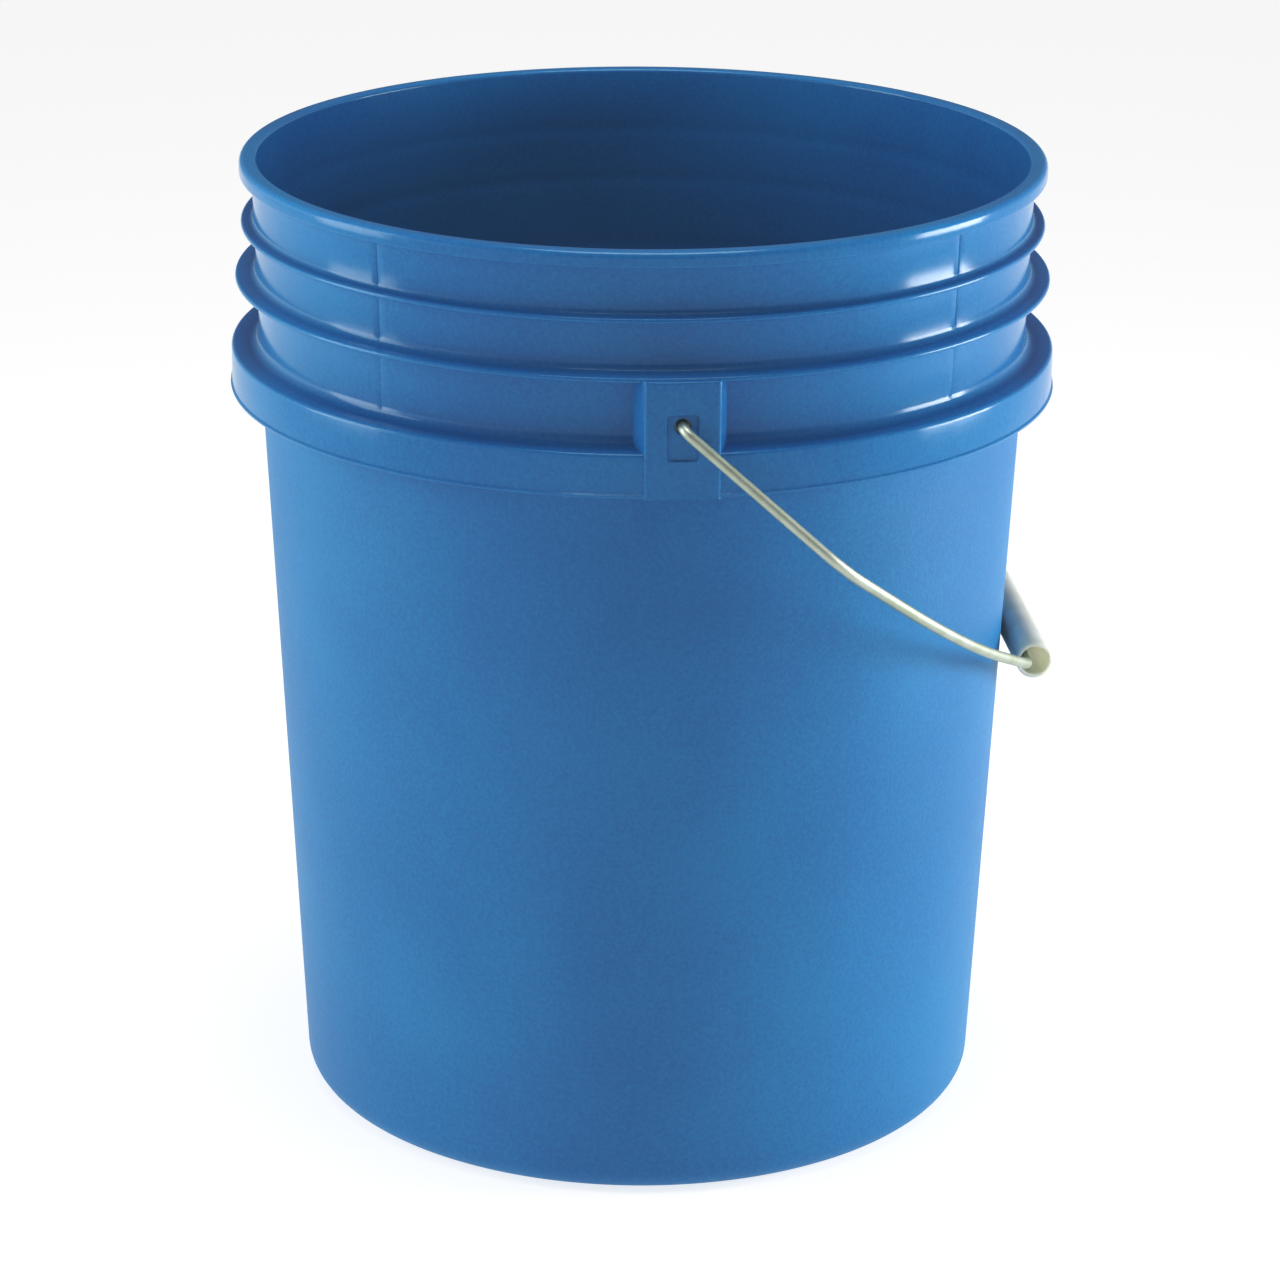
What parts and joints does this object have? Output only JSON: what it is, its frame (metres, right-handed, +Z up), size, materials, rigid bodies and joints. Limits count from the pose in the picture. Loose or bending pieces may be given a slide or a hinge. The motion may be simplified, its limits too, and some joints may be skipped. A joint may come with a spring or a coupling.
{
  "type": "wash bucket",
  "caption": "Round tapered plastic wash bucket with a beaded rim, thin ribs, a hanging skirt with ears, and a swinging wire bail with a tube grip.",
  "frame": {"origin": "centre of the base on the floor", "axes": "+Z up along the pail's axis; the two ears and the bail's hinge axis lie along Y; the bail hangs down on the +X side"},
  "size_m": [0.312, 0.3354, 0.368],
  "materials": {
    "pail_plastic": "moulded blue polyethylene, satin on the body and glossier on the neck and skirt",
    "zinc_wire": "zinc-plated steel wire, satin, slightly yellow",
    "grip_plastic": "natural uncoloured polyethylene, slightly see-through"
  },
  "bodies": {
    "pail": {"pail": "pail_plastic"},
    "bail": {"bail_wire": "zinc_wire"},
    "grip": {"grip": "grip_plastic"}
  },
  "joints": [
    {"name": "bail_swing", "type": "hinge", "parent": "pail", "child": "bail", "pos_m": [0, 0, 0.307], "axis": [0, -1, 0], "range_deg": [0, 262.3]},
    {"name": "grip_spin", "type": "hinge", "parent": "bail", "child": "grip", "pos_m": [0.14686, 0, 0.17854], "axis": [0, 1, 0], "continuous": true}
  ]
}
